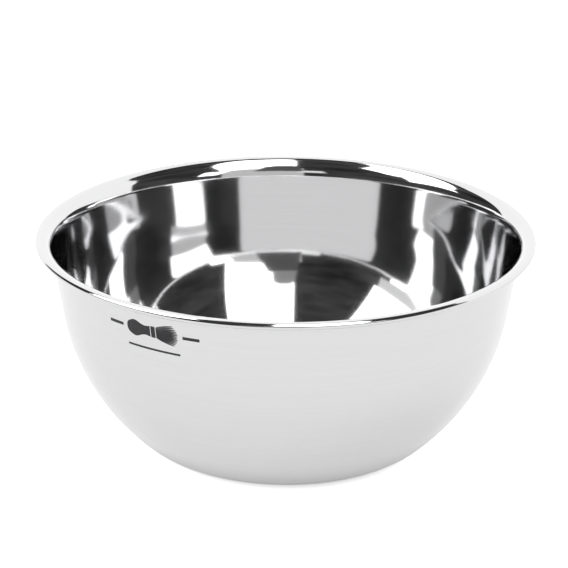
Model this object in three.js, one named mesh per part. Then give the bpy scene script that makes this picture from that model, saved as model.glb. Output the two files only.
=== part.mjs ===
import * as THREE from 'three';

// A shaving bowl of drawn stainless steel, with a flared and hemmed rim and a printed mark.
// Millimetres, +Z up. The origin is the middle of the flat foot, on the surface it stands on.
// The front of the bowl faces -Y.

const { degToRad } = THREE.MathUtils;

// The bowl's outside
const rimDiameter = 120;
const height = 52.8;
const cornerRadius = 16;
const cornerAngle = degToRad(42);
const bellyRadius = 54;
const wallAngle = degToRad(82); // the upper wall's slope, from the horizontal
const lipRadius = 4; // the turn from wall to rim, on its upper side

// The sheet and its folded edge
const sheet = 0.8;
const hemThickness = 1.5;
const hemGap = 0.1; // between the lip and the layer folded under it
const returnAngle = degToRad(28); // how far the folded layer follows the lip

// The printed mark
const markAzimuth = degToRad(-33); // from the front, towards -X
const markHeight = 45.7;
const brushLength = 14;
const brushHalfHeights = [1.1, 1.5, 1.75, 1.6, 1.1, 1.0, 1.25, 1.3, 1.6, 2.05, 2.4, 2.5, 2.2];
const ruleLength = 4.2;
const ruleGap = 1.3;
const ruleHalfHeight = 0.3;
const lowRuleLength = 14.6;
const lowRuleHalfHeight = 0.2;
const lowRuleDrop = 4.6;
const inkThickness = 0.15;
const inkOffset = 0.08; // off the wall's true surface, so the print clears its facets

const turns = 64; // steps round the bowl
const arcDivisions = 3; // each arc of a section has twice as many steps

// Arc centres and the wall's upper end, worked out from the rim down
const noseRadius = hemThickness / 2;
const lip = { x: rimDiameter / 2 - noseRadius, z: height - lipRadius };
const wallTop = {
  x: lip.x - (lipRadius - sheet) * Math.sin(wallAngle),
  z: lip.z + (lipRadius - sheet) * Math.cos(wallAngle),
};
const belly = {
  z: cornerRadius * (1 - Math.cos(cornerAngle)) + bellyRadius * Math.cos(cornerAngle),
};
const wallFoot = { z: belly.z - bellyRadius * Math.cos(wallAngle) };
wallFoot.x = wallTop.x - (wallTop.z - wallFoot.z) / Math.tan(wallAngle);
belly.x = wallFoot.x - bellyRadius * Math.sin(wallAngle);
const footRadius = belly.x + (bellyRadius - cornerRadius) * Math.sin(cornerAngle);

// Turns a closed section about the bowl's axis. The section's x is the radius, its y the height.
// Where one arc runs on from another, the doubled point is dropped.
function turned(section) {
  const isNew = (point, i, all) => i === 0 || point.distanceTo(all[i - 1]) > 0.001;
  const points = section.getPoints(arcDivisions).filter(isNew);
  const geometry = new THREE.LatheGeometry(points, turns);
  geometry.rotateX(Math.PI / 2);
  return geometry;
}

// The drawn sheet: along its outside from the axis to the lip's edge, and back along its inside.
function shellGeometry() {
  const down = -Math.PI / 2;
  const section = new THREE.Path();
  section.moveTo(0, 0);
  section.lineTo(footRadius, 0);
  section.absarc(footRadius, cornerRadius, cornerRadius, down, down + cornerAngle);
  section.absarc(belly.x, belly.z, bellyRadius, down + cornerAngle, down + wallAngle);
  section.absarc(lip.x, lip.z, lipRadius - sheet, Math.PI / 2 + wallAngle, Math.PI / 2, true);
  section.lineTo(lip.x, height);
  section.absarc(lip.x, lip.z, lipRadius, Math.PI / 2, Math.PI / 2 + wallAngle);
  section.absarc(belly.x, belly.z, bellyRadius - sheet, down + wallAngle, down + cornerAngle, true);
  section.absarc(footRadius, cornerRadius, cornerRadius - sheet, down + cornerAngle, down, true);
  section.lineTo(0, sheet);
  return turned(section);
}

// The folded edge: a half-round nose, and a thin layer that runs back under the lip.
function rimGeometry() {
  const up = Math.PI / 2;
  const noseX = lip.x + hemGap;
  const upperRadius = lipRadius - sheet - hemGap;
  const lowerRadius = lipRadius - hemThickness;
  const section = new THREE.Path();
  section.absellipse(noseX, height - noseRadius, noseRadius - hemGap, noseRadius, -up, up);
  section.lineTo(noseX, lip.z + upperRadius);
  section.absarc(lip.x, lip.z, upperRadius, up, up + returnAngle);
  section.absarc(lip.x, lip.z, lowerRadius, up + returnAngle, up, true);
  section.closePath();
  return turned(section);
}

// Wraps a flat ink shape on the wall. halfHeightAt gives its half height along its length.
function inkGeometry(length, steps, along, drop, halfHeightAt) {
  const geometry = new THREE.BoxGeometry(1, 2, 1, steps, 1, 1);
  const position = geometry.getAttribute('position');
  for (let i = 0; i < position.count; i += 1) {
    const share = position.getX(i) + 0.5;
    const z = markHeight - drop + position.getY(i) * halfHeightAt(share);
    const wallRadius = wallTop.x - (wallTop.z - z) / Math.tan(wallAngle);
    const azimuth = markAzimuth + (along + (share - 0.5) * length) / wallTop.x;
    const radius = wallRadius + inkOffset + inkThickness * (position.getZ(i) + 0.5);
    position.setXYZ(i, radius * Math.sin(azimuth), -radius * Math.cos(azimuth), z);
  }
  return geometry;
}

// Half the height of the lying brush: a turned handle, then the knot of hair that fans out.
function brushHalfHeight(share) {
  const place = share * (brushHalfHeights.length - 1);
  const index = Math.min(Math.floor(place), brushHalfHeights.length - 2);
  return THREE.MathUtils.lerp(brushHalfHeights[index], brushHalfHeights[index + 1], place - index);
}

function part(name, geometry, color, roughness, metalness) {
  const material = new THREE.MeshStandardMaterial({ color, roughness, metalness });
  const mesh = new THREE.Mesh(geometry, material);
  mesh.name = name;
  return mesh;
}

const bowl = new THREE.Group();
bowl.add(part('bowl_shell', shellGeometry(), 0xd6d7d8, 0.12, 1));
bowl.add(part('rolled_rim', rimGeometry(), 0xdedfe0, 0.1, 1));

const brushSteps = 2 * (brushHalfHeights.length - 1);
const brush = inkGeometry(brushLength, brushSteps, 0, 0, brushHalfHeight);
bowl.add(part('printed_brush', brush, 0x26272a, 0.5, 0));

const ruleCentre = (brushLength + ruleLength) / 2 + ruleGap;
for (const [side, sign] of [['left', -1], ['right', 1]]) {
  const rule = inkGeometry(ruleLength, 4, sign * ruleCentre, 0, () => ruleHalfHeight);
  bowl.add(part(`printed_rule_${side}`, rule, 0x26272a, 0.5, 0));
}

const lowRule = inkGeometry(lowRuleLength, 14, 0, lowRuleDrop, () => lowRuleHalfHeight);
bowl.add(part('printed_rule_below', lowRule, 0x26272a, 0.5, 0));

export default bowl;
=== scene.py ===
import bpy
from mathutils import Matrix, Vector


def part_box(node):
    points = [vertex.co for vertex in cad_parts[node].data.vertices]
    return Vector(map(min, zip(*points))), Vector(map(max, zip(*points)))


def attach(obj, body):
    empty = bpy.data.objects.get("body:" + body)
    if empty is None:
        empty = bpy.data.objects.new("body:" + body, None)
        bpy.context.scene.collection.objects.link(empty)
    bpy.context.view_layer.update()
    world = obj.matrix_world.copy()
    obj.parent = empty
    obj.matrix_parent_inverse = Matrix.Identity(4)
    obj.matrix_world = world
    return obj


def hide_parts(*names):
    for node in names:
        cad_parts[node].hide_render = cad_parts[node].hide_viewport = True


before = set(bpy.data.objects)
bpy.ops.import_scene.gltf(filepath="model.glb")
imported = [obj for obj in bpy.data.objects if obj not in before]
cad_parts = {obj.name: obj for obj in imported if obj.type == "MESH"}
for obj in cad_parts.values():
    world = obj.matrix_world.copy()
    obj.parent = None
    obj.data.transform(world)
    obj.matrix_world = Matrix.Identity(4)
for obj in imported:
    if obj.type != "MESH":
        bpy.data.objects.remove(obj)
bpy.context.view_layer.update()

import math
from functools import partial

import bmesh
import bpy
from mathutils import Euler, Matrix, Vector

mm = 0.001
white = (1, 1, 1, 1)
scene = bpy.context.scene
scene.view_settings.view_transform = "Standard"


def newTree(name, kind, inputs, outputs):
    # a node tree with named inputs, each a socket type and a value, and named outputs
    tree = bpy.data.node_groups.new(name, kind)
    for label, (socketType, value) in inputs.items():
        socket = tree.interface.new_socket(label, in_out="INPUT", socket_type=socketType)
        if value is not None:
            socket.default_value = value
    for label, socketType in outputs.items():
        tree.interface.new_socket(label, in_out="OUTPUT", socket_type=socketType)
    given = tree.nodes.new("NodeGroupInput").outputs
    wanted = tree.nodes.new("NodeGroupOutput").inputs
    return tree, given, wanted


def addNode(tree, kind, inputs=None, **settings):
    made = tree.nodes.new(kind)
    made.location = (180 * len(tree.nodes), 0)
    for name, value in settings.items():
        setattr(made, name, value)
    for name, value in (inputs or {}).items():
        plug(made.inputs[name], value)
    return made


def plug(socket, value):
    if isinstance(value, bpy.types.NodeSocket):
        socket.id_data.links.new(value, socket)
    else:
        socket.default_value = value


def treeOf(*values):
    # the node tree that the sockets among these values stand in
    return next(value.id_data for value in values if isinstance(value, bpy.types.NodeSocket))


def calc(operation, *values):
    made = addNode(treeOf(*values), "ShaderNodeMath", operation=operation)
    for socket, value in zip(made.inputs, values):
        plug(socket, value)
    return made.outputs[0]


everydaySums = ("ADD", "SUBTRACT", "MULTIPLY", "DIVIDE")
plus, minus, times, over = (partial(calc, operation) for operation in everydaySums)


def pointFrom(x, y, z):
    return addNode(treeOf(x, y, z), "ShaderNodeCombineXYZ", {"X": x, "Y": y, "Z": z}).outputs[0]


def partsOf(point):
    return addNode(treeOf(point), "ShaderNodeSeparateXYZ", {"Vector": point}).outputs


def ownPosition(tree):
    return partsOf(addNode(tree, "GeometryNodeInputPosition").outputs[0])


def turnedPoint(radius, azimuth, height):
    # azimuth runs from the front, -Y, towards +X
    aside = times(radius, calc("SINE", azimuth))
    ahead = times(times(radius, calc("COSINE", azimuth)), -1.0)
    return pointFrom(aside, ahead, height)


def noise(place, scale, detail, roughness=0.5):
    return addNode(treeOf(place), "ShaderNodeTexNoise", {
        "Vector": place, "Scale": scale, "Detail": detail, "Roughness": roughness}).outputs[0]


def objectPlace(tree):
    return addNode(tree, "ShaderNodeTexCoord").outputs["Object"]


def endTree(tree, given, wanted, last):
    # what every tree ends in: real geometry with its finish on
    real = addNode(tree, "GeometryNodeRealizeInstances", {"Geometry": last.outputs[0]})
    dressed = addNode(tree, "GeometryNodeSetMaterial", {
        "Geometry": real.outputs[0], "Material": given["Finish"]})
    plug(wanted["Geometry"], dressed.outputs[0])


def growPiece(name, tree, values, startMesh=None):
    # runs a Geometry Nodes tree once and keeps its result as a plain mesh
    piece = bpy.data.objects.new(name, startMesh or bpy.data.meshes.new(name))
    scene.collection.objects.link(piece)
    modifier = piece.modifiers.new("grow", "NODES")
    modifier.node_group = tree
    for item in tree.interface.items_tree:
        if item.item_type == "SOCKET" and item.in_out == "INPUT" and item.name in values:
            modifier[item.identifier] = values[item.name]
    graph = bpy.context.evaluated_depsgraph_get()
    grown = bpy.data.meshes.new_from_object(piece.evaluated_get(graph))
    piece.modifiers.clear()
    piece.data = grown
    grown.name = name
    return piece


polishSettings = {
    "axisGap": 0.5 * mm,  # nearer the axis than this the rings stop turning
    "ringDetail": 3.0,
    "ringRoughness": 0.6,
    "hazeScale": 26.0,
    "hazeDetail": 3.0,
    "hazeRoughness": 0.55,
    "ringShare": 0.5,  # how much of the haze follows the rings
}


def polishMarksGroup():
    # the fine rings a polishing wheel leaves round the bowl, and the soft haze between them
    tree, given, wanted = newTree(
        "polishMarks", "ShaderNodeTree",
        {
            "Steel": ("NodeSocketColor", (0.7, 0.7, 0.7, 1)),
            "Tint Range": ("NodeSocketFloat", 0.03),
            "Roughness": ("NodeSocketFloat", 0.05),
            "Haze": ("NodeSocketFloat", 0.02),
            "Ring Scale": ("NodeSocketFloat", 900.0),
            "Ring Length": ("NodeSocketFloat", 2.0),
        },
        {"Colour": "NodeSocketColor", "Roughness": "NodeSocketFloat", "Height": "NodeSocketFloat"},
    )
    place = objectPlace(tree)
    x, y, z = partsOf(place)
    reach = calc("SQRT", plus(times(x, x), times(y, y)))
    reach = calc("MAXIMUM", reach, polishSettings["axisGap"])
    aroundX = times(over(x, reach), given["Ring Length"])
    aroundY = times(over(y, reach), given["Ring Length"])
    along = pointFrom(aroundX, aroundY, times(plus(reach, z), given["Ring Scale"]))
    rings = noise(along, 1.0, polishSettings["ringDetail"], polishSettings["ringRoughness"])
    haze = noise(place, polishSettings["hazeScale"], polishSettings["hazeDetail"],
                 polishSettings["hazeRoughness"])
    shade = minus(1.0, times(given["Tint Range"], rings))
    tinted = addNode(tree, "ShaderNodeVectorMath", {0: given["Steel"], "Scale": shade}, operation="SCALE")
    uneven = times(plus(haze, times(rings, polishSettings["ringShare"])), given["Haze"])
    plug(wanted["Colour"], tinted.outputs[0])
    plug(wanted["Roughness"], plus(given["Roughness"], uneven))
    plug(wanted["Height"], rings)
    return tree


polishMarks = polishMarksGroup()


def newMaterial(name):
    material = bpy.data.materials.new(name)
    material.use_nodes = True
    tree = material.node_tree
    return material, tree, tree.nodes["Principled BSDF"]


def steelMaterial(name, look):
    material, tree, shader = newMaterial(name)
    marks = addNode(tree, "ShaderNodeGroup", look["marks"], node_tree=polishMarks)
    bump = addNode(tree, "ShaderNodeBump", {
        "Height": marks.outputs["Height"], "Strength": look["bumpStrength"],
        "Distance": look["bumpDepth"]})
    shader.inputs["Metallic"].default_value = 1.0
    plug(shader.inputs["Base Color"], marks.outputs["Colour"])
    plug(shader.inputs["Roughness"], marks.outputs["Roughness"])
    plug(shader.inputs["Normal"], bump.outputs[0])
    return material


polishedSteel = steelMaterial("polishedSteel", {
    "marks": {"Steel": (0.72, 0.72, 0.725, 1), "Tint Range": 0.05, "Roughness": 0.03, "Haze": 0.045,
              "Ring Scale": 1100.0, "Ring Length": 1.6},
    "bumpStrength": 0.6,
    "bumpDepth": 2.4e-6,
})
rimSteel = steelMaterial("rimSteel", {
    "marks": {"Steel": (0.74, 0.74, 0.745, 1), "Tint Range": 0.05, "Roughness": 0.035, "Haze": 0.04,
              "Ring Scale": 2600.0, "Ring Length": 2.4},
    "bumpStrength": 0.5,
    "bumpDepth": 0.5e-6,
})


def inkMaterial(name, look):
    material, tree, shader = newMaterial(name)
    place = objectPlace(tree)
    mottle = noise(place, look["mottleScale"], 4.0, 0.6)
    grain = noise(place, look["grainScale"], 2.0)
    colour = addNode(tree, "ShaderNodeMix", {
        0: mottle, 6: look["dark"], 7: look["pale"]}, data_type="RGBA")
    roughness = addNode(tree, "ShaderNodeMapRange", {
        "Value": mottle, "To Min": look["smoothest"], "To Max": look["roughest"]})
    bump = addNode(tree, "ShaderNodeBump", {
        "Height": grain, "Strength": look["bumpStrength"], "Distance": look["bumpDepth"]})
    plug(shader.inputs["Base Color"], colour.outputs[2])
    plug(shader.inputs["Roughness"], roughness.outputs[0])
    plug(shader.inputs["Normal"], bump.outputs[0])
    shader.inputs["Specular IOR Level"].default_value = look["shine"]
    return material


padInk = inkMaterial("padInk", {
    "dark": (0.012, 0.012, 0.014, 1),
    "pale": (0.03, 0.03, 0.034, 1),
    "mottleScale": 900.0,
    "grainScale": 9000.0,
    "smoothest": 0.34,
    "roughest": 0.5,
    "bumpStrength": 0.4,
    "bumpDepth": 4e-6,
    "shine": 0.35,
})
print("materials made")

leastTurn = 1e-5  # radians; keeps a straight run from dividing by nothing
weldDistance = 2e-6  # closes the turned skin's seam and its two poles
crispAngle = 0.6  # radians; sharper folds than this keep a hard edge
roundSteps = 320  # steps round the bowl


def straightRun(length, steps, corner=0.0):
    return {"Straight": length, "Steps": steps, "Corner": corner}


def curvedRun(radius, turn, steps, corner=0.0):
    return {"Arc Radius": radius, "Turn": turn, "Steps": steps, "Corner": corner}


def sheetRunGroup():
    # one straight or curved run of a bent sheet's section, after a corner in the given heading:
    # the radius and height of a station along it, and where the next run starts
    settings = ("Station", "First", "Steps", "Straight", "Arc Radius", "Turn", "Corner",
                "Radius", "Height", "Heading")
    tree, given, wanted = newTree(
        "sheetRun", "GeometryNodeTree",
        {label: ("NodeSocketFloat", 0.0) for label in settings},
        {label: "NodeSocketFloat" for label in ("Radius", "Height", "Heading", "Next")},
    )
    share = over(minus(given["Station"], given["First"]), given["Steps"])
    share = calc("MINIMUM", calc("MAXIMUM", share, 0.0), 1.0)
    turned = times(share, given["Turn"])
    whole = plus(given["Straight"], times(given["Arc Radius"], calc("ABSOLUTE", given["Turn"])))
    halfTurn = plus(times(turned, 0.5), leastTurn)
    chord = times(times(whole, share), over(calc("SINE", halfTurn), halfTurn))
    start = plus(given["Heading"], given["Corner"])
    towards = plus(start, halfTurn)
    plug(wanted["Radius"], plus(given["Radius"], times(chord, calc("COSINE", towards))))
    plug(wanted["Height"], plus(given["Height"], times(chord, calc("SINE", towards))))
    plug(wanted["Heading"], plus(start, turned))
    plug(wanted["Next"], plus(given["First"], given["Steps"]))
    return tree


sheetRun = sheetRunGroup()


def turnedTree(name, sizes, start, runsOf):
    # a tree that bends a flat grid into a closed section turned about the Z axis.
    # start gives the section's first radius, height and heading, and runsOf lists its runs
    inputs = {label: ("NodeSocketFloat", value) for label, value in sizes.items()}
    inputs["Turns"] = ("NodeSocketInt", roundSteps)
    inputs["Finish"] = ("NodeSocketMaterial", None)
    tree, given, wanted = newTree(
        name, "GeometryNodeTree", inputs, {"Geometry": "NodeSocketGeometry"})
    runs = runsOf(given)
    lastStation = sum(run["Steps"] for run in runs)
    flat = addNode(tree, "GeometryNodeMeshGrid", {
        "Size X": 1.0, "Size Y": 1.0, "Vertices X": lastStation + 1,
        "Vertices Y": plus(given["Turns"], 1.0)})
    along, around = ownPosition(tree)[:2]
    station = times(plus(along, 0.5), float(lastStation))
    azimuth = times(plus(around, 0.5), 2 * math.pi)
    radius, height, heading = start(given)
    first = 0.0
    for run in runs:
        made = addNode(tree, "GeometryNodeGroup", {
            "Station": station, "First": first, "Radius": radius, "Height": height,
            "Heading": heading, **run,
        }, node_tree=sheetRun)
        radius, height, heading, first = made.outputs
    bent = addNode(tree, "GeometryNodeSetPosition", {
        "Geometry": flat.outputs[0], "Position": turnedPoint(radius, azimuth, height)})
    joined = addNode(tree, "GeometryNodeMergeByDistance", {
        "Geometry": bent.outputs[0], "Distance": weldDistance})
    smooth = addNode(tree, "GeometryNodeSetShadeSmooth", {
        "Geometry": joined.outputs[0], "Shade Smooth": True})
    fold = addNode(tree, "GeometryNodeInputMeshEdgeAngle").outputs[0]
    crisp = addNode(tree, "GeometryNodeSetShadeSmooth", {
        "Geometry": smooth.outputs[0], "Selection": calc("GREATER_THAN", fold, crispAngle),
        "Shade Smooth": False}, domain="EDGE")
    endTree(tree, given, wanted, crisp)
    return tree


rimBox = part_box("rolled_rim")
rimRadius, bowlHeight = rimBox[1].x, rimBox[1].z

bowlSizes = {
    "Corner Radius": 16 * mm,
    "Corner Angle": math.radians(41.2),
    "Belly Radius": 52.8 * mm,
    "Wall Angle": math.radians(80.5),  # the upper wall's slope from the horizontal
    "Flare Radius": 14 * mm,  # the easy turn out of the wall, below the lip
    "Flare Angle": math.radians(10),
    "Lip Radius": 2.8 * mm,  # on its upper side
    "Land": 0.44 * mm,  # the flat top between the lip's turn and the nose
    "Sheet": 0.6 * mm,
    "Fold": 0.95 * mm,  # the layer folded under the lip's edge
}


def sectionFacts(sizes):
    # where the wall meets the lip and the belly, and how wide the foot is
    nose = (sizes["Sheet"] + sizes["Fold"]) / 2
    lipX, lipZ = rimRadius - nose - sizes["Land"], bowlHeight - sizes["Lip Radius"]
    under = sizes["Lip Radius"] - sizes["Sheet"]
    wall, corner, flare = sizes["Wall Angle"], sizes["Corner Angle"], sizes["Flare Radius"]
    flareTop = wall - sizes["Flare Angle"]
    wallTopX = lipX - under * math.sin(flareTop) - flare * (math.sin(wall) - math.sin(flareTop))
    wallTopZ = lipZ + under * math.cos(flareTop) - flare * (math.cos(flareTop) - math.cos(wall))
    bellyZ = sizes["Corner Radius"] * (1 - math.cos(corner)) + sizes["Belly Radius"] * math.cos(corner)
    wallFootZ = bellyZ - sizes["Belly Radius"] * math.cos(wall)
    wallLength = (wallTopZ - wallFootZ) / math.sin(wall)
    bellyX = wallTopX - wallLength * math.cos(wall) - sizes["Belly Radius"] * math.sin(wall)
    footRadius = bellyX + (sizes["Belly Radius"] - sizes["Corner Radius"]) * math.sin(corner)
    return {"lipX": lipX, "lipZ": lipZ, "wallTopX": wallTopX, "wallTopZ": wallTopZ,
            "wallLength": wallLength, "footRadius": footRadius}


facts = sectionFacts(bowlSizes)


def bowlRuns(given):
    # along the outside from the axis to the folded edge, and back along the inside
    quarter = math.pi / 2
    sheet, land, fold = given["Sheet"], given["Land"], given["Fold"]
    foot, wallLength = given["Foot Radius"], given["Wall Length"]
    corner, belly, flare, lip = (given[label] for label in (
        "Corner Radius", "Belly Radius", "Flare Radius", "Lip Radius"))
    cornerTurn, flareTurn = given["Corner Angle"], given["Flare Angle"]
    bellyTurn = minus(given["Wall Angle"], cornerTurn)
    lipTurn = minus(given["Wall Angle"], flareTurn)

    def back(angle):
        return times(angle, -1.0)

    return [
        straightRun(foot, steps=10),
        curvedRun(corner, cornerTurn, steps=28),
        curvedRun(belly, bellyTurn, steps=40),
        straightRun(wallLength, steps=10),
        curvedRun(flare, back(flareTurn), steps=12),
        curvedRun(minus(lip, sheet), back(lipTurn), steps=16),
        straightRun(land, steps=2),
        straightRun(fold, steps=1, corner=-quarter),
        curvedRun(times(plus(sheet, fold), 0.5), 2 * quarter, steps=28, corner=quarter),  # the nose
        straightRun(land, steps=2),
        curvedRun(lip, lipTurn, steps=32),
        curvedRun(plus(flare, sheet), flareTurn, steps=14),
        straightRun(wallLength, steps=10),
        curvedRun(minus(belly, sheet), back(bellyTurn), steps=40),
        curvedRun(minus(corner, sheet), back(cornerTurn), steps=28),
        straightRun(foot, steps=10),
    ]


def bowlStart(given):
    return 0.0, 0.0, 0.0


bowlInputs = {**bowlSizes, "Foot Radius": facts["footRadius"], "Wall Length": facts["wallLength"]}
bowlTree = turnedTree("pressedBowl", bowlInputs, bowlStart, bowlRuns)
polishedBowl = growPiece("polishedBowl", bowlTree, {
    **bowlInputs, "Turns": roundSteps, "Finish": polishedSteel})

edgeGap = 0.1 * mm  # between the lip and the layer folded under it
edgeSizes = {
    "Lip Centre": facts["lipX"],
    "Lip Height": facts["lipZ"],
    "Land": bowlSizes["Land"],
    "Upper Radius": bowlSizes["Lip Radius"] - bowlSizes["Sheet"] - edgeGap,
    "Layer": 0.85 * mm,
    "Return Angle": math.radians(34),  # how far the layer follows the lip
}


def edgeRuns(given):
    # up the face that meets the nose, back under the lip, round the free edge, and out again
    land, layer, follow = given["Land"], given["Layer"], given["Return Angle"]
    upper = given["Upper Radius"]
    return [
        straightRun(layer, steps=2),
        straightRun(land, steps=2, corner=math.pi / 2),
        curvedRun(upper, follow, steps=10),
        curvedRun(times(layer, 0.5), math.pi, steps=12),
        curvedRun(minus(upper, layer), times(follow, -1.0), steps=10),
        straightRun(land, steps=2),
    ]


def edgeStart(given):
    lower = minus(given["Upper Radius"], given["Layer"])
    return plus(given["Lip Centre"], given["Land"]), plus(given["Lip Height"], lower), math.pi / 2


edgeTree = turnedTree("foldedEdge", edgeSizes, edgeStart, edgeRuns)
foldedEdge = growPiece("foldedEdge", edgeTree, {**edgeSizes, "Turns": roundSteps, "Finish": rimSteel})
print("bowl and folded edge turned", len(polishedBowl.data.polygons), len(foldedEdge.data.polygons))

# the printed mark: a shaving brush between two short rules, and a thin rule below.
# each is drawn flat, x along the wall and y up it, and then wrapped on the wall
printSizes = {
    "azimuth": math.radians(-33),  # from the front, towards -X
    "height": 45.7 * mm,
    "offset": 0.01 * mm,  # off the wall
    "depth": 0.03 * mm,  # the ink's own thickness
}

brushSizes = {  # in millimetres
    "length": 14.0,
    "handleEnd": -0.35,
    "handleWaist": 1.1,  # half heights
    "handleGrip": 0.95,
    "handleStep": 0.24,
    "gripCentre": 2.3,  # from the handle's end
    "gripLength": 1.75,
    "stepStart": 5.4,
    "stepLength": 1.25,
    "roundLength": 0.9,  # how long the rounded end is
    "bluntness": 0.25,  # the rounded end's least half height, as a share
    "collarStart": -0.1,
    "collarEnd": 1.05,
    "collarHalfHeight": 1.42,
    "knotStart": 1.3,
    "rootSpread": 1.2,
    "tipSpread": 2.45,
    "tipRounding": 1.1,
    "bristleWidth": 0.32,
    "bristles": 13,
    "seed": 3,
}

bristleShape = {
    "spreadPower": 0.8,  # under 1, the knot swells early
    "roundingPower": 2.2,
    "unevenLength": 0.12 * mm,
    "taper": 0.7,
    "taperPower": 6.0,
    "rootWidth": 0.55,  # shares of the bristle width
    "addedWidth": 0.75,
}
rowGap = 10.0  # how far apart the strokes lie before they are fanned out


def bristleFan(tree, given):
    # one thin stroke for each point of a line, then fanned out from the knot
    line = addNode(tree, "GeometryNodeMeshLine", {
        "Count": given["Bristles"], "Offset": (0.0, rowGap, 0.0)}, mode="OFFSET")
    stroke = addNode(tree, "GeometryNodeMeshCube", {
        "Size": (1.0, 1.0, 1.0), "Vertices X": 14, "Vertices Y": 2, "Vertices Z": 2})
    rows = addNode(tree, "GeometryNodeInstanceOnPoints", {
        "Points": line.outputs[0], "Instance": stroke.outputs[0]})
    laid = addNode(tree, "GeometryNodeRealizeInstances", {"Geometry": rows.outputs[0]})
    x, y, z = ownPosition(tree)
    share = plus(x, 0.5)
    number = calc("ROUND", over(y, rowGap))
    across = minus(y, times(number, rowGap))
    others = calc("MAXIMUM", minus(given["Bristles"], 1.0), 1.0)
    side = minus(times(over(number, others), 2.0), 1.0)  # -1 at the lowest bristle, 1 at the highest
    wholeNumber = addNode(tree, "FunctionNodeFloatToInt", {"Float": number})
    uneven = addNode(tree, "FunctionNodeRandomValue", {
        "Min": -1.0, "Max": 1.0, "ID": wholeNumber.outputs[0], "Seed": given["Seed"]}, data_type="FLOAT")
    jitter = next(socket for socket in uneven.outputs if socket.enabled)

    rootPart = times(given["Root Spread"], minus(1.0, share))
    tipPart = times(given["Tip Spread"], calc("POWER", share, bristleShape["spreadPower"]))
    rounding = calc("POWER", calc("ABSOLUTE", side), bristleShape["roundingPower"])
    reach = minus(given["Knot Length"], times(given["Tip Rounding"], rounding))
    reach = plus(reach, times(jitter, bristleShape["unevenLength"]))
    taper = minus(1.0, times(calc("POWER", share, bristleShape["taperPower"]), bristleShape["taper"]))
    swell = plus(bristleShape["rootWidth"], times(share, bristleShape["addedWidth"]))
    width = times(times(given["Bristle Width"], taper), swell)
    place = pointFrom(plus(given["Knot Start"], times(share, reach)),
                      plus(times(side, plus(rootPart, tipPart)), times(across, width)), plus(z, 0.5))
    fanned = addNode(tree, "GeometryNodeSetPosition", {"Geometry": laid.outputs[0], "Position": place})
    return fanned.outputs[0]


def wallWrapTree():
    # wraps a flat shape and the bristles on the bowl's upper wall; a flat point's z is the ink's depth
    inputs = {"Geometry": ("NodeSocketGeometry", None)}
    inputs.update({label: ("NodeSocketFloat", 0.0) for label in (
        "Wall Top Radius", "Wall Top Height", "Wall Angle", "Mark Azimuth", "Mark Height", "Offset",
        "Depth", "Knot Start", "Knot Length", "Root Spread", "Tip Spread", "Tip Rounding",
        "Bristle Width")})
    inputs.update({"Bristles": ("NodeSocketInt", 0), "Seed": ("NodeSocketInt", brushSizes["seed"]),
                   "Finish": ("NodeSocketMaterial", None)})
    tree, given, wanted = newTree(
        "wallPrint", "GeometryNodeTree", inputs, {"Geometry": "NodeSocketGeometry"})
    both = addNode(tree, "GeometryNodeJoinGeometry")
    tree.links.new(given["Geometry"], both.inputs[0])
    tree.links.new(bristleFan(tree, given), both.inputs[0])

    along, up, deep = ownPosition(tree)
    height = plus(up, given["Mark Height"])
    inward = over(minus(given["Wall Top Height"], height), calc("TANGENT", given["Wall Angle"]))
    radius = plus(minus(given["Wall Top Radius"], inward), given["Offset"])
    radius = plus(radius, times(deep, given["Depth"]))
    azimuth = plus(given["Mark Azimuth"], over(along, given["Wall Top Radius"]))
    wrapped = addNode(tree, "GeometryNodeSetPosition", {
        "Geometry": both.outputs[0], "Position": turnedPoint(radius, azimuth, height)})
    endTree(tree, given, wanted, wrapped)
    return tree


wallPrint = wallWrapTree()
wallValues = {
    "Wall Top Radius": facts["wallTopX"],
    "Wall Top Height": facts["wallTopZ"],
    "Wall Angle": bowlSizes["Wall Angle"],
    "Mark Azimuth": printSizes["azimuth"],
    "Mark Height": printSizes["height"],
    "Offset": printSizes["offset"],
    "Depth": printSizes["depth"],
    "Finish": padInk,
}


def flatBar(bm, start, end, halfHeightAt, steps, level=0.0):
    # a closed bar of ink from start to end, in millimetres, as high as halfHeightAt says
    rings = []
    for i in range(steps + 1):
        x = start + (end - start) * i / steps
        half = halfHeightAt(x)
        rings.append([bm.verts.new((x * mm, (level + side * half) * mm, depth))
                      for side, depth in ((-1, 0), (1, 0), (1, 1), (-1, 1))])
    for a, b in zip(rings, rings[1:]):
        for k in range(4):
            bm.faces.new((a[k], a[(k + 1) % 4], b[(k + 1) % 4], b[k]))
    bm.faces.new(rings[0][::-1])
    bm.faces.new(rings[-1])


def inkPiece(name, draw, extra=None):
    bm = bmesh.new()
    draw(bm)
    mesh = bpy.data.meshes.new(name)
    bm.to_mesh(mesh)
    bm.free()
    piece = growPiece(name, wallPrint, {**wallValues, **(extra or {})}, mesh)
    faced = bmesh.new()
    faced.from_mesh(piece.data)
    bmesh.ops.recalc_face_normals(faced, faces=faced.faces)
    faced.to_mesh(piece.data)
    faced.free()
    return piece


def handleHalfHeight(x):
    # a rounded end, a full grip, a waist, and a step up towards the collar
    sizes = brushSizes
    fromEnd = x + sizes["length"] / 2
    grip = math.exp(-((fromEnd - sizes["gripCentre"]) / sizes["gripLength"]) ** 2)
    step = max(0.0, (fromEnd - sizes["stepStart"]) / sizes["stepLength"])
    half = sizes["handleWaist"] + sizes["handleGrip"] * grip
    half += sizes["handleStep"] * step
    cap = math.sqrt(1 - (1 - min(1.0, fromEnd / sizes["roundLength"])) ** 2)
    return half * (sizes["bluntness"] + (1 - sizes["bluntness"]) * cap)


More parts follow.
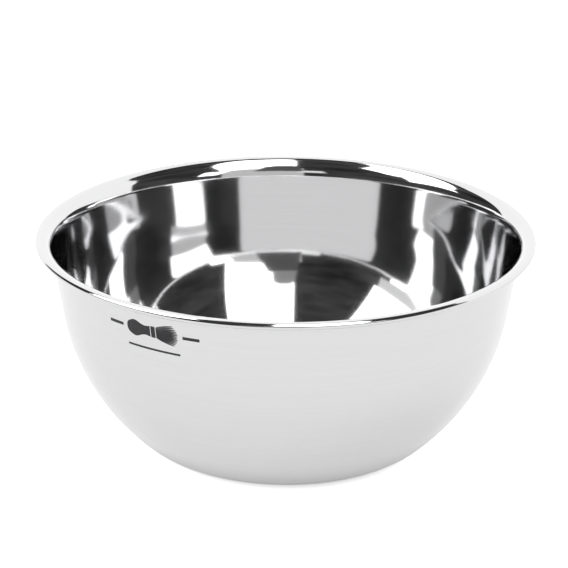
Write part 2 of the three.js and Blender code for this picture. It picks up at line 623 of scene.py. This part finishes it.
def drawBrush(bm):
    flatBar(bm, -brushSizes["length"] / 2, brushSizes["handleEnd"], handleHalfHeight, steps=48)
    flatBar(bm, brushSizes["collarStart"], brushSizes["collarEnd"],
            lambda x: brushSizes["collarHalfHeight"], steps=8)


brushPrint = inkPiece("brushPrint", drawBrush, {
    "Bristles": brushSizes["bristles"],
    "Seed": brushSizes["seed"],
    "Knot Start": brushSizes["knotStart"] * mm,
    "Knot Length": (brushSizes["length"] / 2 - brushSizes["knotStart"]) * mm,
    "Root Spread": brushSizes["rootSpread"] * mm,
    "Tip Spread": brushSizes["tipSpread"] * mm,
    "Tip Rounding": brushSizes["tipRounding"] * mm,
    "Bristle Width": brushSizes["bristleWidth"] * mm,
})

sideRuleSizes = {"length": 4.2, "halfHeight": 0.36, "gap": 1.3, "drop": 0.0}  # in millimetres
lowRuleSizes = {"length": 14.6, "halfHeight": 0.24, "drop": 4.6}


def ruleDrawer(centre, sizes):
    start, end = centre - sizes["length"] / 2, centre + sizes["length"] / 2

    def drawRule(bm):
        flatBar(bm, start, end, lambda x: sizes["halfHeight"], steps=16, level=-sizes["drop"])

    return drawRule


ruleCentre = (brushSizes["length"] + sideRuleSizes["length"]) / 2 + sideRuleSizes["gap"]
leftRulePrint = inkPiece("leftRulePrint", ruleDrawer(-ruleCentre, sideRuleSizes))
rightRulePrint = inkPiece("rightRulePrint", ruleDrawer(ruleCentre, sideRuleSizes))
lowRulePrint = inkPiece("lowRulePrint", ruleDrawer(0.0, lowRuleSizes))
print("print wrapped on the wall")

for piece, node, slot in (
    (polishedBowl, "bowl_shell", "polished_steel"),
    (foldedEdge, "rolled_rim", "rim_steel"),
    (brushPrint, "printed_brush", "print_ink"),
    (leftRulePrint, "printed_rule_left", "print_ink"),
    (rightRulePrint, "printed_rule_right", "print_ink"),
    (lowRulePrint, "printed_rule_below", "print_ink"),
):
    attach(piece, "root")
    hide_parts(node)


def direction(azimuth, elevation):
    # azimuth from straight behind the bowl, towards +X; both in degrees
    a, e = math.radians(azimuth), math.radians(elevation)
    return Vector((math.sin(a) * math.cos(e), math.cos(a) * math.cos(e), math.sin(e)))


def stageMesh(name, points, material, faces=None, seenByCamera=False):
    mesh = bpy.data.meshes.new(name)
    mesh.from_pydata(points, [], faces or [tuple(range(len(points)))])
    mesh.materials.append(material)
    stageObject = bpy.data.objects.new(name, mesh)
    scene.collection.objects.link(stageObject)
    stageObject.visible_camera = seenByCamera
    stageObject.visible_diffuse = seenByCamera
    return stageObject


def glowMaterial(name, brightness, fades=False):
    material = bpy.data.materials.new(name)
    material.use_nodes = True
    tree = material.node_tree
    tree.nodes.clear()
    glow = addNode(tree, "ShaderNodeEmission", {"Color": white, "Strength": brightness})
    out = addNode(tree, "ShaderNodeOutputMaterial")
    if fades:
        clear = addNode(tree, "ShaderNodeBsdfTransparent")
        mask = addNode(tree, "ShaderNodeAttribute", attribute_name="fade").outputs["Fac"]
        fade = addNode(tree, "ShaderNodeMapRange", {"Value": mask}, interpolation_type="SMOOTHSTEP")
        glow = addNode(tree, "ShaderNodeMixShader", {
            0: fade.outputs[0], 1: clear.outputs[0], 2: glow.outputs[0]})
    tree.links.new(glow.outputs[0], out.inputs[0])
    return material


# panels that the steel mirrors: corners as directions in degrees, and the share of the width
# over which the edge fades out
studioPanels = {
    "overheadPanel": {
        "corners": ((-175.2, 19.9), (145.8, 17), (32, 75), (-4.3, 77)),
        "reach": 1.6, "brightness": 3.4, "softness": 0.0},
    "leftPanel": {
        "corners": ((-126, 23), (-84, 23), (-13.5, 60.6), (-133.4, 49.5)),
        "reach": 1.5, "brightness": 3.4, "softness": 0.04},
    "greySkirt": {  # a dimmer band under the left panel
        "corners": ((-124, 18.4), (-84, 18.4), (-84, 24), (-124, 24)),
        "reach": 1.52, "brightness": 0.85, "softness": 0.05},
    "lowStrip": {  # and a bright one under that
        "corners": ((-114, 13), (-83, 13), (-84, 18.9), (-118, 18.9)),
        "reach": 1.48, "brightness": 3.2, "softness": 0.04},
    "cameraBody": {  # the studio's own camera on its stand, nearly dark
        "corners": ((162, 13.5), (190, 13.5), (188, 26), (169, 26)),
        "reach": 1.2, "brightness": 0.11, "softness": 0.2},
    "cameraTop": {  # the head of it, a little lighter
        "corners": ((171, 24), (188, 24), (187, 31), (183, 33), (175, 33), (171, 31)),
        "reach": 1.19, "brightness": 0.33, "softness": 0.3},
    "sideStrip": {
        "corners": ((133, 10.5), (144, 10.5), (152, 17), (137, 17)),
        "reach": 1.5, "brightness": 3.2, "softness": 0.2},
    "brightWindow": {
        "corners": ((-176, 11), (-158, 11), (-160, 15.5), (-174, 15.5)),
        "reach": 1.4, "brightness": 1.1, "softness": 0.35},
    "farTable": {
        "corners": ((-171, 0), (147, 0), (147, 17), (-171, 19)),
        "reach": 1.9, "brightness": 0.68, "softness": 0.0},
}


def panel(name, corners, reach, brightness, softness):
    # covers the part of the sky between its corners' directions, reach metres away
    points = [direction(*corner) * reach for corner in corners]
    count = len(points)
    middle = sum(points, Vector()) / count
    points += [point.lerp(middle, softness) for point in points]
    faces = [tuple(range(count, 2 * count))]
    if softness > 0:
        faces += [(k, (k + 1) % count, count + (k + 1) % count, count + k) for k in range(count)]
    made = stageMesh(name, points, glowMaterial(name + "Glow", brightness, fades=True), faces)
    fade = made.data.attributes.new("fade", "FLOAT", "POINT")
    fade.data.foreach_set("value", [0.0] * count + [1.0] * count)


for name, look in studioPanels.items():
    panel(name, **look)

backdropSizes = {  # two glowing walls, behind the bowl and at its right
    "left": -1.3,
    "right": 1.2,
    "back": 1.2,
    "leftHeight": 1.7,
    "cornerHeight": 2.24,
    "nearEdge": ((-0.1, 0), (-0.12, 0.56), (0.05, 1.0)),  # of the right wall: place and height
    "brightness": 1.22,
}


def hangBackdrop(sizes):
    glow = glowMaterial("backdropGlow", sizes["brightness"])
    left, right, back, top = (sizes[label] for label in ("left", "right", "back", "cornerHeight"))
    stageMesh("backWall", [
        (left, back, 0), (right, back, 0), (right, back, top), (left, back, sizes["leftHeight"])], glow)
    nearEdge = [(right, y, z) for y, z in sizes["nearEdge"]]
    stageMesh("sideWall", [(right, back, 0), *nearEdge, (right, back, top)], glow)


hangBackdrop(backdropSizes)

floorSizes = {
    "side": 1.6,
    "near": -0.35,
    "back": 1.2,
    "darker": (0.84, 0.84, 0.84, 1),
    "paler": (0.87, 0.87, 0.87, 1),
    "grainScale": 700.0,
    "roughness": 0.9,
    "glow": 0.42,
    "seenGlow": 1.1,  # added where the camera sees the floor
    "paintedShadowReach": 15 * mm,  # the glow is dimmed under the foot and this far round it, a painted contact shadow
    # the least glow left in the painted contact shadow under the foot
    "paintedShadowGlow": 0.25,
    # a painted shadow on the floor at the bowl's right front, fading out from this centre
    "paintedSideShadowCentre": (0.026, -0.022, 0),
    "paintedSideShadowStart": 0.008,
    "paintedSideShadowEnd": 0.05,
    "paintedSideShadowGlow": 0.84,
}


def floorMaterial(look):
    # a light table: it glows a little of itself, with a painted contact shadow under the bowl and a
    # painted shadow at the bowl's right front
    material, tree, shader = newMaterial("paleFloor")
    place = objectPlace(tree)
    grain = noise(place, look["grainScale"], 3.0)
    colour = addNode(tree, "ShaderNodeMix", {
        0: grain, 6: look["darker"], 7: look["paler"]}, data_type="RGBA")
    plug(shader.inputs["Base Color"], colour.outputs[2])
    shader.inputs["Roughness"].default_value = look["roughness"]
    shader.inputs["Specular IOR Level"].default_value = 0.0
    seen = addNode(tree, "ShaderNodeLightPath").outputs["Is Camera Ray"]
    flat = addNode(tree, "ShaderNodeVectorMath", {
        0: place, 1: (1, 1, 0)}, operation="MULTIPLY").outputs[0]

    # dims the floor's glow round a centre: painted shade
    def paintedShadeFrom(centre, start, end, least):
        away = addNode(tree, "ShaderNodeVectorMath", {0: flat, 1: centre}, operation="DISTANCE")
        return addNode(tree, "ShaderNodeMapRange", {
            "Value": away.outputs["Value"], "From Min": start, "From Max": end, "To Min": least},
            interpolation_type="SMOOTHSTEP").outputs[0]

    foot = facts["footRadius"]
    # painted contact shadow round the foot
    paintedContactShadow = paintedShadeFrom((0, 0, 0), foot, foot + look["paintedShadowReach"], look["paintedShadowGlow"])
    # painted shadow at the right front, as if the light came from the left
    paintedSideShade = paintedShadeFrom(
        look["paintedSideShadowCentre"], look["paintedSideShadowStart"], look["paintedSideShadowEnd"], look["paintedSideShadowGlow"])
    # both painted shadows together dim the floor's glow
    paintedShadeFactor = calc("MULTIPLY", paintedContactShadow, paintedSideShade)
    strength = calc("MULTIPLY_ADD", seen, look["seenGlow"], look["glow"])
    shader.inputs["Emission Color"].default_value = white
    plug(shader.inputs["Emission Strength"], calc("MULTIPLY", strength, paintedShadeFactor))
    return material


side, near, back = floorSizes["side"], floorSizes["near"], floorSizes["back"]
stageMesh("floor", [(-side, near, 0), (side, near, 0), (side, back, 0), (-side, back, 0)],
          floorMaterial(floorSizes), seenByCamera=True)

roomLook = {
    "stretch": (1.2, 1.2, 7.0),  # shapes in the dark room lie level
    "scale": 1.6,
    "darkest": 0.016,
    "lightest": 0.085,
    "softLight": (0.8, 0.8, 0.8, 1),
}


def lightRoom(look):
    # the dark room that the steel mirrors, the soft light that fills it, and a white behind the bowl
    world = bpy.data.worlds.new("studio")
    scene.world = world
    world.use_nodes = True
    tree = world.node_tree
    tree.nodes.clear()
    path = addNode(tree, "ShaderNodeLightPath").outputs
    level = addNode(tree, "ShaderNodeVectorMath", {
        0: objectPlace(tree), 1: look["stretch"]}, operation="MULTIPLY").outputs[0]
    clutter = noise(level, look["scale"], 3.0)
    dim = addNode(tree, "ShaderNodeMapRange", {
        "Value": clutter, "From Min": 0.3, "From Max": 0.7,
        "To Min": look["darkest"], "To Max": look["lightest"]}).outputs[0]
    room = addNode(tree, "ShaderNodeMix", {
        0: path["Is Diffuse Ray"], 6: dim, 7: look["softLight"]}, data_type="RGBA").outputs[2]
    seen = addNode(tree, "ShaderNodeMix", {
        0: path["Is Camera Ray"], 6: room, 7: white}, data_type="RGBA").outputs[2]
    sky = addNode(tree, "ShaderNodeBackground", {"Color": seen})
    out = addNode(tree, "ShaderNodeOutputWorld")
    tree.links.new(sky.outputs[0], out.inputs[0])


lightRoom(roomLook)

cameraSettings = {
    "place": (0, -0.6589, 0.2892),
    "sensorWidth": 36.0,
    "lens": 184.7,
    "lookDown": math.radians(20.737),
    "turnLeft": math.radians(0.033),
    "roll": math.radians(0.3),  # held a touch askew
}


def placeCamera(settings):
    cameraData = bpy.data.cameras.new("camera")
    cameraData.sensor_width = settings["sensorWidth"]
    cameraData.lens = settings["lens"]
    camera = bpy.data.objects.new("camera", cameraData)
    scene.collection.objects.link(camera)
    camera.location = settings["place"]
    aim = Euler((math.pi / 2 - settings["lookDown"], 0, settings["turnLeft"])).to_matrix()
    camera.rotation_euler = (aim @ Matrix.Rotation(settings["roll"], 3, "Z")).to_euler()
    scene.camera = camera


placeCamera(cameraSettings)
print("studio and camera set")
